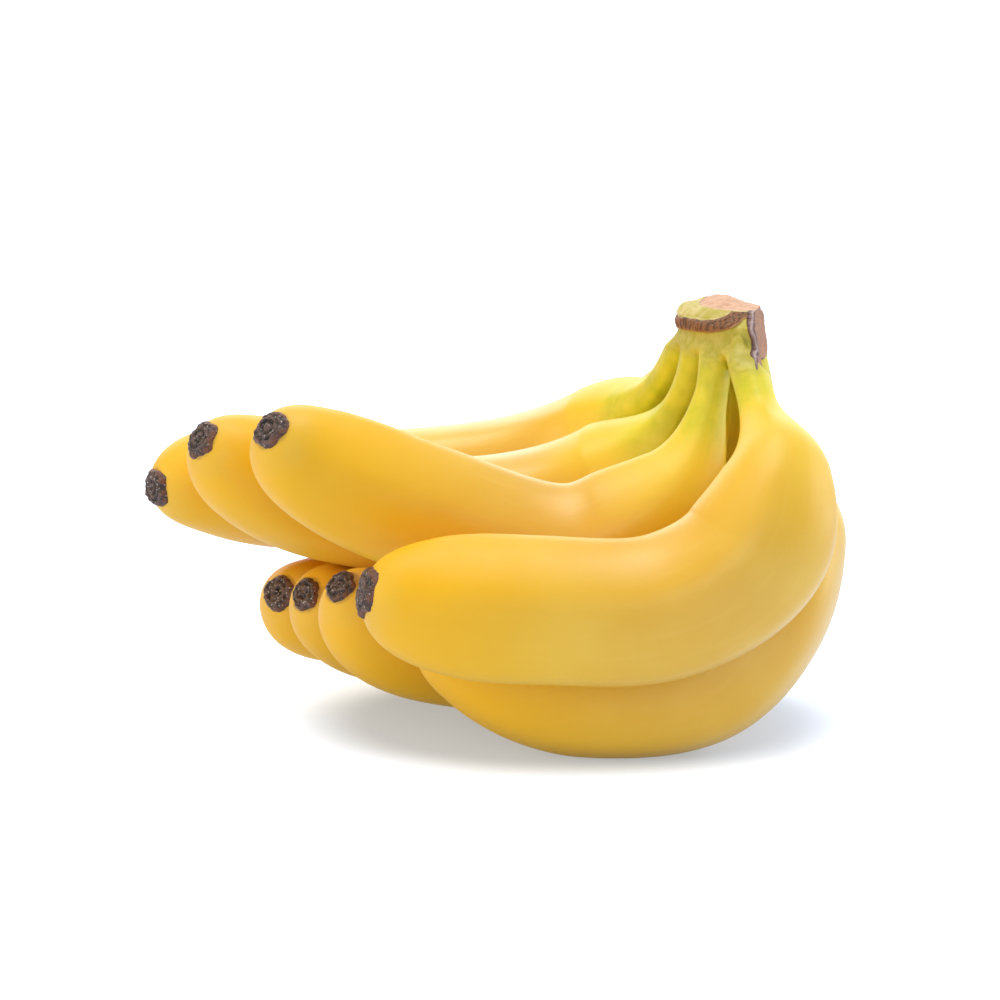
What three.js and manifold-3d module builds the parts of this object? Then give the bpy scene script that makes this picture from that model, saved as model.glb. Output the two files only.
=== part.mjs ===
// A hand of eight ripe bananas lying on its outer row: four fruits in an upper row nested in the
// bend of four in a lower row, all hanging from one corky crown.
// Millimetres, +Z up. The floor is Z = 0, the front of the hand is towards -Y, the tips point to -X.

import * as THREE from 'three';
import { mergeVertices } from 'three/addons/utils/BufferGeometryUtils.js';
import Module from 'manifold-3d';

const wasm = await Module();
wasm.setup();

// Driving dimensions

const CLEARANCE = 0.35;          // gap left between pieces that touch
const PRESS_SOFTNESS = 0.5;      // rounding of the edge where a fruit is pressed flat
const ROUND_END = 1.2;           // how far the rounded fruit end would run on under the blossom end
const END_FULLNESS = 2.35;       // 2 gives an elliptic fruit end, more gives a blunter one
const RIDGE_HEIGHT = 0.022;      // height of the five long ridges, as a share of the radius
const RIDGE_COUNT = 5;
const SIDES = 20;                // four faces to each ridge
const BODY_RINGS = 22;
const END_RINGS = 8;
const CONTACT_STEPS = 90;        // points along each centre line that neighbours are tested against

// Middle of the whole hand in the plan coordinates of the lists below; it becomes X = 0, Y = 0
const MIDDLE = [-0.7, -0.65];

// Each fruit: the girth and stalk radii, where the stalk starts and stops widening, how long the end
// tapers, the radius of the dried blossom end, and the centre line from the crown to the tip.
// Number 1 of each row is at the front.
const UPPER_ROW = [
  {
    girth: 19.3, stalk: 5.0, neck: [21, 70], taper: 40, tip: 6.2,
    line: [[66, -28, 112], [70.5, -43, 94], [74.2, -64, 79], [66, -72, 59],
      [45, -73, 47], [13, -73, 46], [-15, -72.5, 48], [-32, -76, 52]],
  },
  {
    girth: 17.6, stalk: 4.4, neck: [14, 64], taper: 42, tip: 5.0,
    line: [[61, -22, 110], [59, -25, 92], [51, -30, 71], [24, -31, 53],
      [-16, -35, 64], [-46, -43, 79], [-57, -53, 90]],
  },
  {
    girth: 17.3, stalk: 4.4, neck: [22, 54], taper: 42, tip: 5.0,
    line: [[57, -15, 109], [53, -10, 91], [35, 2, 65], [-3, 7, 53],
      [-41, 5, 58], [-66, -6, 70], [-78, -15, 80]],
  },
  {
    girth: 17.3, stalk: 4.6, neck: [22, 62], taper: 42, tip: 5.2,
    line: [[54.8, -7, 108.5], [48.4, 5.5, 92.2], [34.5, 34, 70.3], [6, 45, 57.5],
      [-43, 45, 53], [-78, 29, 59], [-94, 19, 59]],
  },
];
const LOWER_ROW = [
  {
    girth: 18.8, stalk: 4.8, neck: [24, 60], taper: 40, tip: 5.5,
    line: [[68, -19, 110], [73, -16, 88], [77, -33, 55], [71, -43, 37],
      [56, -43, 21], [24, -43, 18], [-5, -46, 30], [-17, -48, 38]],
  },
  {
    girth: 17.5, stalk: 4.6, neck: [26, 64], taper: 44, tip: 4.4,
    line: [[68, -12, 107], [71, 1, 82], [72, -1, 46], [47, -6, 19],
      [22, -6, 17], [-7, -10, 21], [-29, -21, 29], [-40, -31, 43]],
  },
  {
    girth: 17.5, stalk: 4.6, neck: [26, 68], taper: 44, tip: 4.4,
    line: [[67, -4, 106], [66, 19, 78], [61, 32, 44], [32, 30, 19],
      [-3, 27, 17], [-34, 14, 22], [-51, -3, 34]],
  },
  {
    girth: 17.2, stalk: 4.6, neck: [26, 68], taper: 44, tip: 4.9,
    line: [[63, 3, 105], [55, 55, 73], [44, 74, 42], [12, 67, 18],
      [-26, 56, 18], [-49, 38, 20], [-60, 23, 28]],
  },
];

const TIP_LENGTH = 2.4;          // how far a blossom end stands out of its fruit
const TIP_SEAT = 1.4;            // how far before the end of its centre line a fruit stops
const TIP_SIDES = 12;

// The crown: a long cushion seen from above, with its ridge, its cut top and its cut side
const CROWN = {
  centre: [64, -13],
  longAxis: [-0.45, 0.89],
  halfLength: 20.5,
  halfWidth: 10.5,
  bottom: 102,
  top: 119,
  ridgeTilt: 2.8,                // how much higher the ridge is at the front than at its middle
  cutTop: 116,
  cutSidePoint: [71.2, -25, 109],
  cutSideNormal: [0.975, -0.17, 0.15],
  sides: 36,
};
// Height above the crown's bottom as a share of its height, and the outline's size there
const CROWN_PROFILE = [
  [0.0, 0.8], [0.12, 0.93], [0.38, 0.93], [0.44, 1.0], [0.54, 1.04], [0.62, 1.0], [0.66, 0.94],
  [0.76, 0.88], [0.88, 0.7],
];
const FLUTE_DEPTH = 0.05;        // grooves between the stalks below the ridge
const FLUTE_COUNT = 8;

const COLOURS = {
  peel: 0xe8bd45,
  crown: 0x9b7b4b,
  blossomEnd: 0x33271f,
};

// Helpers

const smoothstep = (t) => t * t * (3 - 2 * t);
const clamp01 = (t) => Math.min(1, Math.max(0, t));

/** Radius of a fruit at a distance along its centre line: stalk, neck, belly and rounded end. */
function fruitRadius(fruit, distance, length) {
  const [neckStart, neckEnd] = fruit.neck;
  const widening = smoothstep(clamp01((distance - neckStart) / (neckEnd - neckStart)));
  const flare = fruit.stalk + (fruit.girth - fruit.stalk) * widening;
  const endShare = clamp01((length + ROUND_END - distance) / fruit.taper);
  return flare * (1 - (1 - endShare) ** END_FULLNESS) ** (1 / END_FULLNESS);
}

/** Distances of the rings along a fruit: even along the body, closer together round the end. */
function ringDistances(fruit, length) {
  const bodyEnd = length - fruit.taper + ROUND_END;
  const distances = [];
  for (let i = 0; i < BODY_RINGS; i += 1) {
    distances.push((bodyEnd * i) / BODY_RINGS);
  }
  const lastAngle = Math.asin(1 - ROUND_END / fruit.taper);
  for (let i = 0; i <= END_RINGS; i += 1) {
    distances.push(bodyEnd + fruit.taper * Math.sin((lastAngle * i) / END_RINGS));
  }
  return distances;
}

/** A fruit's centre curve, its rings and the sample points that neighbours are pressed against. */
function layOut(fruit) {
  const curve = new THREE.CatmullRomCurve3(
    fruit.line.map((point) => new THREE.Vector3(...point)), false, 'centripetal');
  curve.arcLengthDivisions = 400;
  const whole = curve.getLength();
  const length = whole - TIP_SEAT;
  const rings = ringDistances(fruit, length).map((distance) => {
    const share = distance / whole;
    return {
      centre: curve.getPointAt(share),
      tangent: curve.getTangentAt(share),
      radius: fruitRadius(fruit, distance, length),
    };
  });
  const side = new THREE.Vector3().crossVectors(rings[0].tangent, new THREE.Vector3(0, 1, 0));
  for (const ring of rings) {
    side.addScaledVector(ring.tangent, -side.dot(ring.tangent)).normalize();
    ring.side = side.clone();
    ring.across = new THREE.Vector3().crossVectors(ring.tangent, side);
  }
  const samples = [];
  for (let i = 0; i <= CONTACT_STEPS; i += 1) {
    const distance = (length * i) / CONTACT_STEPS;
    samples.push({
      centre: curve.getPointAt(distance / whole),
      radius: fruitRadius(fruit, distance, length),
    });
  }
  return { fruit, rings, samples };
}

/** Distance from a point to the round skin of a laid-out fruit. */
function distanceTo(other, point) {
  let nearest = Infinity;
  for (const sample of other.samples) {
    nearest = Math.min(nearest, sample.centre.distanceTo(point) - sample.radius);
  }
  return nearest;
}

/** Radius left in one direction once the fruit is pressed against its neighbours. */
function pressedRadius(ring, direction, neighbours) {
  let pressed = -Infinity;
  const point = new THREE.Vector3();
  for (const other of neighbours) {
    let radius = ring.radius;
    let space = 0;
    for (let pass = 0; pass < 4; pass += 1) {
      point.copy(ring.centre).addScaledVector(direction, radius);
      space = distanceTo(other, point) - (radius - ring.radius) - CLEARANCE;
      radius += Math.min(space, 0) / 2;
    }
    pressed = Math.max(pressed, radius < ring.radius ? ring.radius - radius : -space / 2);
  }
  const soft = 0.5 * (pressed + Math.hypot(pressed, PRESS_SOFTNESS));
  return Math.max(ring.radius - soft, 0.3);
}

/** Closed geometry from rings of points, each ring joined to the next and both ends capped. */
function skinRings(rings) {
  const sides = rings[0].length;
  const positions = rings.flat().flatMap((point) => [point.x, point.y, point.z]);
  const index = [];
  for (let r = 0; r < rings.length - 1; r += 1) {
    for (let s = 0; s < sides; s += 1) {
      const next = (s + 1) % sides;
      const a = r * sides + s;
      const b = r * sides + next;
      index.push(a, b, b + sides, a, b + sides, a + sides);
    }
  }
  for (const [ring, forward] of [[0, false], [rings.length - 1, true]]) {
    const middle = new THREE.Vector3();
    rings[ring].forEach((point) => middle.addScaledVector(point, 1 / sides));
    const centre = positions.length / 3;
    positions.push(middle.x, middle.y, middle.z);
    for (let s = 0; s < sides; s += 1) {
      const a = ring * sides + s;
      const b = ring * sides + ((s + 1) % sides);
      index.push(...(forward ? [a, b, centre] : [b, a, centre]));
    }
  }
  const geometry = new THREE.BufferGeometry();
  geometry.setAttribute('position', new THREE.Float32BufferAttribute(positions, 3));
  geometry.setIndex(index);
  return geometry;
}

/** Turns a closed geometry into a solid that can be joined and cut. */
function solid(geometry) {
  geometry.deleteAttribute('normal');
  geometry.deleteAttribute('uv');
  const merged = mergeVertices(geometry);
  return new wasm.Manifold(new wasm.Mesh({
    numProp: 3,
    vertProperties: new Float32Array(merged.attributes.position.array),
    triVerts: new Uint32Array(merged.index.array),
  }));
}

/** Turns a solid back into a geometry. */
function toGeometry(cut) {
  const mesh = cut.getMesh();
  const geometry = new THREE.BufferGeometry();
  geometry.setAttribute('position', new THREE.BufferAttribute(new Float32Array(mesh.vertProperties), 3));
  geometry.setIndex(new THREE.BufferAttribute(new Uint32Array(mesh.triVerts), 1));
  return geometry;
}

// The floor and the knife cuts are large blocks that take away what is past them
const BLOCK = 400;

/** A block whose inner face passes through a point, facing back against the outward normal. */
function blockBeyond(point, normal) {
  const geometry = new THREE.BoxGeometry(BLOCK, BLOCK, BLOCK);
  const turn = new THREE.Quaternion().setFromUnitVectors(new THREE.Vector3(0, 0, 1), normal);
  geometry.applyQuaternion(turn);
  const middle = point.clone().addScaledVector(normal, BLOCK / 2);
  geometry.translate(middle.x, middle.y, middle.z);
  return solid(geometry);
}

const UP = new THREE.Vector3(0, 0, 1);
const floorBlock = blockBeyond(new THREE.Vector3(0, 0, 0), UP.clone().negate());

/** What the knife took off the crown's side, moved outwards by a margin. */
function sideCutBlock(margin) {
  const normal = new THREE.Vector3(...CROWN.cutSideNormal).normalize();
  return blockBeyond(new THREE.Vector3(...CROWN.cutSidePoint).addScaledVector(normal, margin), normal);
}

// The same cut runs on over the stalks, but no lower than the crown's own foot
const stalkCutBlock = sideCutBlock(0)
  .intersect(blockBeyond(new THREE.Vector3(0, 0, CROWN.bottom), UP));

// The crown

/** The crown grown outwards by a margin, with its fluted skirt, ridge, cut top and cut side. */
function crownSolid(margin) {
  const [centreX, centreY] = CROWN.centre;
  const along = new THREE.Vector3(...CROWN.longAxis, 0).normalize();
  const across = new THREE.Vector3(-along.y, along.x, 0);
  const height = CROWN.top - CROWN.bottom;
  const rings = CROWN_PROFILE.map(([share, size]) => {
    const ring = [];
    for (let s = 0; s < CROWN.sides; s += 1) {
      const angle = (2 * Math.PI * s) / CROWN.sides;
      const underRidge = clamp01(1 - share / 0.4);
      const flute = 1 - FLUTE_DEPTH * underRidge * Math.cos(FLUTE_COUNT * angle);
      const tilt = -CROWN.ridgeTilt * Math.cos(angle) * Math.sin(Math.PI * share);
      ring.push(new THREE.Vector3(centreX, centreY, CROWN.bottom - margin + share * (height + 2 * margin))
        .addScaledVector(along, (CROWN.halfLength * size * flute + margin) * Math.cos(angle))
        .addScaledVector(across, (CROWN.halfWidth * size * flute + margin) * Math.sin(angle))
        .addScaledVector(UP, tilt));
    }
    return ring;
  });
  const topPoint = new THREE.Vector3(centreX, centreY, CROWN.cutTop + margin);
  return solid(skinRings(rings))
    .subtract(sideCutBlock(margin))
    .subtract(blockBeyond(topPoint, UP));
}

// The fruits

/** One banana: its pressed, ridged skin, cut clear of the crown and flat where it meets the floor. */
function bananaSolid(fruit, neighbours, crownSpace) {
  const rings = fruit.rings.map((ring) => {
    const points = [];
    for (let s = 0; s < SIDES; s += 1) {
      const angle = (2 * Math.PI * s) / SIDES;
      const direction = ring.side.clone().multiplyScalar(Math.cos(angle))
        .addScaledVector(ring.across, Math.sin(angle));
      const ridged = 1 + RIDGE_HEIGHT * (Math.cos(RIDGE_COUNT * angle) - 1);
      const radius = pressedRadius(ring, direction, neighbours) * ridged;
      points.push(ring.centre.clone().addScaledVector(direction, radius));
    }
    return points;
  });
  return solid(skinRings(rings))
    .subtract(crownSpace)
    .subtract(stalkCutBlock)
    .subtract(floorBlock);
}

/** One dried blossom end: a short crumpled knob with a dished face, just clear of its fruit. */
function blossomEndGeometry(laidOut) {
  const last = laidOut.rings[laidOut.rings.length - 1];
  const radius = laidOut.fruit.tip;
  const stages = [[0, 0.86], [0.25, 1.0], [0.65, 0.96], [1.0, 0.72], [0.86, 0.34]];
  const rings = stages.map(([share, size]) => {
    const points = [];
    for (let s = 0; s < TIP_SIDES; s += 1) {
      const angle = (2 * Math.PI * s) / TIP_SIDES;
      const crumple = 1 + 0.06 * Math.cos(3 * angle + radius) + 0.04 * Math.cos(5 * angle);
      points.push(last.centre.clone()
        .addScaledVector(last.tangent, CLEARANCE + share * TIP_LENGTH)
        .addScaledVector(last.side, radius * size * crumple * Math.cos(angle))
        .addScaledVector(last.across, radius * size * crumple * Math.sin(angle)));
    }
    return points;
  });
  return skinRings(rings);
}

// Assembly

const material = (color, roughness) => new THREE.MeshStandardMaterial({ color, roughness, metalness: 0 });
const peel = material(COLOURS.peel, 0.45);
const cork = material(COLOURS.crown, 0.85);
const dried = material(COLOURS.blossomEnd, 0.9);

/** A named mesh with its own material. */
function piece(name, geometry, finish) {
  geometry.computeVertexNormals();
  const mesh = new THREE.Mesh(geometry, finish.clone());
  mesh.name = name;
  return mesh;
}

const bunch = new THREE.Group();
bunch.position.set(-MIDDLE[0], -MIDDLE[1], 0);
const rows = { upper: UPPER_ROW.map(layOut), lower: LOWER_ROW.map(layOut) };
const allFruits = [...rows.upper, ...rows.lower];
const crownSpace = crownSolid(CLEARANCE);

bunch.add(piece('crown', toGeometry(crownSolid(0)), cork));
for (const [row, fruits] of Object.entries(rows)) {
  fruits.forEach((fruit, i) => {
    const neighbours = allFruits.filter((other) => other !== fruit);
    const body = bananaSolid(fruit, neighbours, crownSpace);
    bunch.add(piece(`banana_${row}_${i + 1}`, toGeometry(body), peel));
    bunch.add(piece(`blossom_end_${row}_${i + 1}`, blossomEndGeometry(fruit), dried));
  });
}

export default bunch;
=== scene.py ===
"""Looks of a hand of eight ripe bananas: waxy peel, fused corky crown and dried blossom ends."""
import logging
import math
from dataclasses import dataclass, field
from enum import Enum
from typing import Dict, List, Mapping, Optional, Sequence, Tuple, Union

import bpy
import numpy as np
from mathutils import Matrix


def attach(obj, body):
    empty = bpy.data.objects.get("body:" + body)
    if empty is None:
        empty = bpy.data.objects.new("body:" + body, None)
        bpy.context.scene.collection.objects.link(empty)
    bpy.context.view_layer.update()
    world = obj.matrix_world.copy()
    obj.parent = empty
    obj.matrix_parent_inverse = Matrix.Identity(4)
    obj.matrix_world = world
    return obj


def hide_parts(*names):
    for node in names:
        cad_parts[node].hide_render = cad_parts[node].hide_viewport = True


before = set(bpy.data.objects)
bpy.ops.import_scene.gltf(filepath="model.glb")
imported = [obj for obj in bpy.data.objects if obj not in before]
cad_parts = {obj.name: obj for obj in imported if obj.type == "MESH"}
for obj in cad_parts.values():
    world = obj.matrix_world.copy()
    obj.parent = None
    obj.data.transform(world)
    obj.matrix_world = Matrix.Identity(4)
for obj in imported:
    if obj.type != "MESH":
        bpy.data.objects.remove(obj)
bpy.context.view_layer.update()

log = logging.getLogger("bananas")

Array = np.ndarray
Triple = Tuple[float, float, float]
Colour = Triple
Marks = Tuple[Triple, ...]
Samples = Tuple[Array, Array, Array, float]
Key = Union[int, str]
Socket = bpy.types.NodeSocket
Sockets = Mapping[str, Socket]
Value = Union[float, Colour, Socket]

MM = 0.001
PLAN_MIDDLE = np.array([-0.7, -0.65, 0.0])   # middle of the hand in the plan's millimetres
CLEARANCE = 0.25                             # gap between fruits that press on each other
PRESS_SOFTNESS = 0.7                         # rounding at the edge of such a flat
ROUND_END = 1.2                              # how far the fruit's round end runs past its crust's seat
END_FULLNESS = 2.35                          # power of the superellipse that closes the end
TIP_SEAT = 1.4                               # how far the crust's seat lies short of the last mark
RIDGES = 5                                   # long ridges round a fruit
CROWN_FOOT = 102.0                           # height of the crown's foot in the plan
CROWN_SEAM = 102.6                           # height where the stalks pass into the crown
TURN = 2 * math.pi


class Slot(Enum):
    """Material slots of the record."""

    PEEL = "peel"
    CORK = "crown_cork"
    BLOSSOM = "dried_blossom"


# Number helpers


def srgb(red: float, green: float, blue: float) -> Colour:
    """Linear colour of an 8-bit display colour."""
    def linear(value: float) -> float:
        """One channel from display to linear."""
        share = value / 255
        return share / 12.92 if share <= 0.04045 else ((share + 0.055) / 1.055) ** 2.4
    return linear(red), linear(green), linear(blue)


def smooth(edge0: float, edge1: float, value: Array) -> Array:
    """Smooth ramp: 0 before edge0, 1 after edge1 and 3t^2 - 2t^3 between them."""
    t = np.clip((value - edge0) / (edge1 - edge0), 0, 1)
    return t * t * (3 - 2 * t)


def soft_max(a: Array, b: Array, width: Array) -> Array:
    """Larger of two values with a rounded corner: their mean plus half of hypot(difference, width)."""
    return 0.5 * (a + b + np.hypot(a - b, width))


def soft_min(a: Array, b: Array, width: Array) -> Array:
    """Smaller of two values with a rounded corner."""
    return -soft_max(-a, -b, width)


def unit(vectors: Array) -> Array:
    """Vectors scaled to length 1."""
    return vectors / np.linalg.norm(vectors, axis=-1, keepdims=True)


@dataclass(frozen=True)
class Waves:
    """A smooth random field: a sum of plane sine waves with seeded directions and phases.

    Attributes:
        seed: start of the random draws.
        shortest: shortest wave, in the unit of the points.
        longest: longest wave.
        count: number of waves.
    """

    seed: int
    shortest: float
    longest: float
    count: int = 18

    def __call__(self, points: Array) -> Array:
        """Field values at points.

        Args:
            points: array whose last axis holds x, y and z.

        Returns:
            Values that mostly lie between -1 and 1.
        """
        draw = np.random.default_rng(self.seed)
        directions = unit(draw.normal(size=(self.count, 3)))
        lengths = np.exp(draw.uniform(np.log(self.shortest), np.log(self.longest), self.count))
        phases = draw.uniform(0, TURN, self.count)
        angles = points @ (directions * (TURN / lengths)[:, None]).T + phases
        return np.sin(angles).sum(-1) * math.sqrt(2 / self.count) * 0.6


# Mesh helpers


def linked(name: str, data: bpy.types.ID) -> bpy.types.Object:
    """A new object that shows the data, linked to the scene."""
    thing = bpy.data.objects.new(name, data)
    bpy.context.scene.collection.objects.link(thing)
    return thing


@dataclass
class Skin:
    """A closed surface on a grid of rings, ready to become a mesh.

    Attributes:
        name: name of the CAD node that it dresses.
        points: rings by sides by 3, in millimetres.
        poles: the two points that close the first and the last ring.
        fields: named values at each grid point, rings by sides.
    """

    name: str
    points: Array
    poles: Tuple[Array, Array]
    fields: Dict[str, Array] = field(default_factory=dict)

    def faces(self) -> Tuple[Array, Array]:
        """Corner indices of the quads between rings and of the triangles round both poles."""
        rings, sides = self.points.shape[:2]
        ring, side = np.meshgrid(np.arange(rings - 1), np.arange(sides), indexing="ij")
        after = (side + 1) % sides
        quads = np.stack([ring * sides + side, ring * sides + after,
                          (ring + 1) * sides + after, (ring + 1) * sides + side], -1).reshape(-1, 4)
        around, follow = np.arange(sides), (np.arange(sides) + 1) % sides
        last = (rings - 1) * sides
        first_fan = np.stack([follow, around, np.full(sides, rings * sides)], -1)
        last_fan = np.stack([last + around, last + follow, np.full(sides, rings * sides + 1)], -1)
        return quads, np.concatenate([first_fan, last_fan])

    @staticmethod
    def signed_volume(corners: Array, triangles: Array, quads: Array) -> float:
        """Volume inside the faces, negative where they point inwards."""
        halves = np.concatenate([triangles, quads[:, [0, 1, 2]], quads[:, [0, 2, 3]]])
        a, b, c = (corners[halves[:, i]] for i in range(3))
        return float((a * np.cross(b, c)).sum() / 6)

    def uv(self, quads: Array, triangles: Array) -> Array:
        """UV of each face corner: share of the turn, and share of the way along the rings."""
        rings, sides = self.points.shape[:2]
        quad_uv = np.stack([(quads % sides) / sides, (quads // sides) / (rings - 1)], -1)
        wraps = ((quads % sides).max(1) - (quads % sides).min(1) > 1)[:, None]
        quad_uv[..., 0] += wraps & (quads % sides == 0)
        fan_uv = np.stack([(triangles % sides) / sides,
                           np.clip((triangles // sides) / (rings - 1), 0, 1)], -1)
        return np.concatenate([quad_uv.reshape(-1, 2), fan_uv.reshape(-1, 2)])

    def build(self) -> bpy.types.Object:
        """Makes the mesh object, with outward faces, its UV map and its point attributes.

        Returns:
            The object, linked to the scene, at the origin.
        """
        corners = np.concatenate([self.points.reshape(-1, 3), np.stack(self.poles)]) * MM
        quads, triangles = self.faces()
        if self.signed_volume(corners, triangles, quads) < 0:
            quads, triangles = quads[:, ::-1], triangles[:, ::-1]
        own_name = self.name + "_skin"
        mesh = bpy.data.meshes.new(own_name)
        loops = np.concatenate([quads.ravel(), triangles.ravel()])
        starts = np.concatenate([np.arange(len(quads)) * 4,
                                 len(quads) * 4 + np.arange(len(triangles)) * 3])
        mesh.vertices.add(len(corners))
        mesh.loops.add(len(loops))
        mesh.polygons.add(len(starts))
        mesh.vertices.foreach_set("co", corners.astype(np.float32).ravel())
        mesh.loops.foreach_set("vertex_index", loops.astype(np.int32))
        mesh.polygons.foreach_set("loop_start", starts.astype(np.int32))
        mesh.polygons.foreach_set("use_smooth", np.ones(len(starts), bool))
        mesh.update(calc_edges=True)
        layer = mesh.uv_layers.new(name="UVMap")
        layer.data.foreach_set("uv", self.uv(quads, triangles).astype(np.float32).ravel())
        for name, values in self.fields.items():
            ends = [values[0].mean(), values[-1].mean()]
            data = np.concatenate([values.ravel(), ends]).astype(np.float32)
            mesh.attributes.new(name, "FLOAT", "POINT").data.foreach_set("value", data)
        mesh.validate()
        return linked(own_name, mesh)


# Shape of the fruits


@dataclass(frozen=True)
class Plan:
    """Sizes of one fruit, in millimetres.

    Attributes:
        name: node name in the CAD model.
        girth: radius of the body.
        stalk: radius of the stalk.
        neck: where along the fruit the stalk starts and stops widening.
        taper: length of the rounded end.
        tip: radius of the dried blossom end.
        marks: centre line from the crown to the tip, in the plan's own place.
        turn: turn of the long ridges round the fruit, in degrees.
        green: how far along the fruit the green of the stalk reaches.
        seed: start of the random draws.
    """

    name: str
    girth: float
    stalk: float
    neck: Tuple[float, float]
    taper: float
    tip: float
    marks: Marks
    turn: float
    green: float
    seed: int


class CentreLine:
    """Centre line of a fruit: a smooth curve through its marks, measured by arc length."""

    DENSE = 240          # points on each stretch between two marks
    SAMPLED = 150        # places along the fruit that clearance is measured from

    def __init__(self, plan: Plan) -> None:
        """Lays the curve.

        Args:
            plan: the fruit's sizes.
        """
        self.plan = plan
        self.places = self._curve(np.array(plan.marks, float) - PLAN_MIDDLE)
        steps = np.linalg.norm(np.diff(self.places, axis=0), axis=1)
        self.distance = np.concatenate([[0.0], np.cumsum(steps)])
        self.length = float(self.distance[-1]) - TIP_SEAT
        self.tangents = unit(np.gradient(self.places, self.distance, axis=0))
        self.sides = self._sides()
        self._samples = self.sample(np.linspace(0, self.length, self.SAMPLED))

    def _curve(self, marks: Array) -> Array:
        """Centripetal Catmull-Rom points: cubics whose knots lie at the square roots of the chords."""
        ends = np.concatenate([[2 * marks[0] - marks[1]], marks, [2 * marks[-1] - marks[-2]]])
        p0, p1, p2, p3 = ends[:-3], ends[1:-2], ends[2:-1], ends[3:]
        t0, t1, t2 = (np.sqrt(np.linalg.norm(b - a, axis=1))[:, None]
                      for a, b in ((p0, p1), (p1, p2), (p2, p3)))
        slope1 = ((p1 - p0) / t0 - (p2 - p0) / (t0 + t1) + (p2 - p1) / t1) * t1
        slope2 = ((p2 - p1) / t1 - (p3 - p1) / (t1 + t2) + (p3 - p2) / t2) * t1
        s = np.linspace(0, 1, self.DENSE, endpoint=False)[None, :, None]
        a, b, c, d = (x[:, None, :] for x in (p1, p2, slope1, slope2))
        cubic = a + c * s + (-3 * a + 3 * b - 2 * c - d) * s**2 + (2 * a - 2 * b + c + d) * s**3
        return np.concatenate([cubic.reshape(-1, 3), marks[-1:]])

    def _sides(self) -> Array:
        """Side vectors carried along the curve without twist, one for each dense point."""
        side = np.cross(self.tangents[0], (0, 1, 0))
        out = np.empty_like(self.tangents)
        for i, tangent in enumerate(self.tangents):
            side = side - side.dot(tangent) * tangent
            side /= np.linalg.norm(side)
            out[i] = side
        return out

    def at(self, distance: Array, values: Array) -> Array:
        """Values of a dense list of vectors at distances along the curve, held at its ends."""
        inside = np.clip(distance, 0, self.distance[-1])
        return np.stack([np.interp(inside, self.distance, values[:, i]) for i in range(3)], -1)

    def centres(self, distance: Array) -> Array:
        """Centre points at distances along the curve."""
        return self.at(distance, self.places)

    def axes(self, distance: Array) -> Tuple[Array, Array, Array]:
        """The directions along, sideways and across at distances along the curve."""
        tangent = unit(self.at(distance, self.tangents))
        side = self.at(distance, self.sides)
        side = unit(side - (side * tangent).sum(-1, keepdims=True) * tangent)
        return tangent, side, np.cross(tangent, side)

    def radius(self, distance: Array) -> Array:
        """Round radius of the fruit: stalk, neck, belly and a blunt rounded end.

        The neck widens by a smooth ramp, and the end closes as a superellipse.

        Args:
            distance: distances along the centre line, in millimetres.

        Returns:
            Radii in millimetres.
        """
        plan = self.plan
        flare = plan.stalk + (plan.girth - plan.stalk) * smooth(*plan.neck, distance)
        share = np.clip((self.length + ROUND_END - distance) / plan.taper, 0, 1)
        return flare * (1 - (1 - share) ** END_FULLNESS) ** (1 / END_FULLNESS)

    def sample(self, distance: Array) -> Samples:
        """Centre points, tangents and distances that clearance is measured from, and their spacing."""
        return self.centres(distance), self.axes(distance)[0], distance, float(distance[1] - distance[0])

    def clearance(self, points: Array, samples: Optional[Samples] = None) -> Array:
        """Distance from points to the round skin of this fruit.

        The nearest sample is found first, then the point is dropped onto that sample's tangent.

        Args:
            points: any number of points by 3.
            samples: the samples to use instead of the whole fruit's.

        Returns:
            One distance for each point, negative inside.
        """
        centres, tangents, distance, spacing = samples or self._samples
        squares = (centres**2).sum(1) - 2 * points @ centres.T
        nearest = squares.argmin(1)
        away = points - centres[nearest]
        slide = np.clip((away * tangents[nearest]).sum(1), -spacing, spacing)
        away -= slide[:, None] * tangents[nearest]
        foot = np.clip(distance[nearest] + slide, 0, self.length)
        return np.linalg.norm(away, axis=1) - self.radius(foot)


@dataclass
class Rays:
    """Rays on a grid of rings and sides, along which the radii of a skin are measured.

    Attributes:
        origins: their starts, rings by sides by 3, or rings by 1 by 3 where a ring shares one.
        directions: their directions, rings by sides by 3.
    """

    origins: Array
    directions: Array

    def at(self, radius: Array) -> Array:
        """Points at radii along the rays."""
        return self.origins + radius[..., None] * self.directions

    def on(self, rings: Array) -> "Rays":
        """The rays of the chosen rings."""
        return Rays(self.origins[rings], self.directions[rings])


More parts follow.
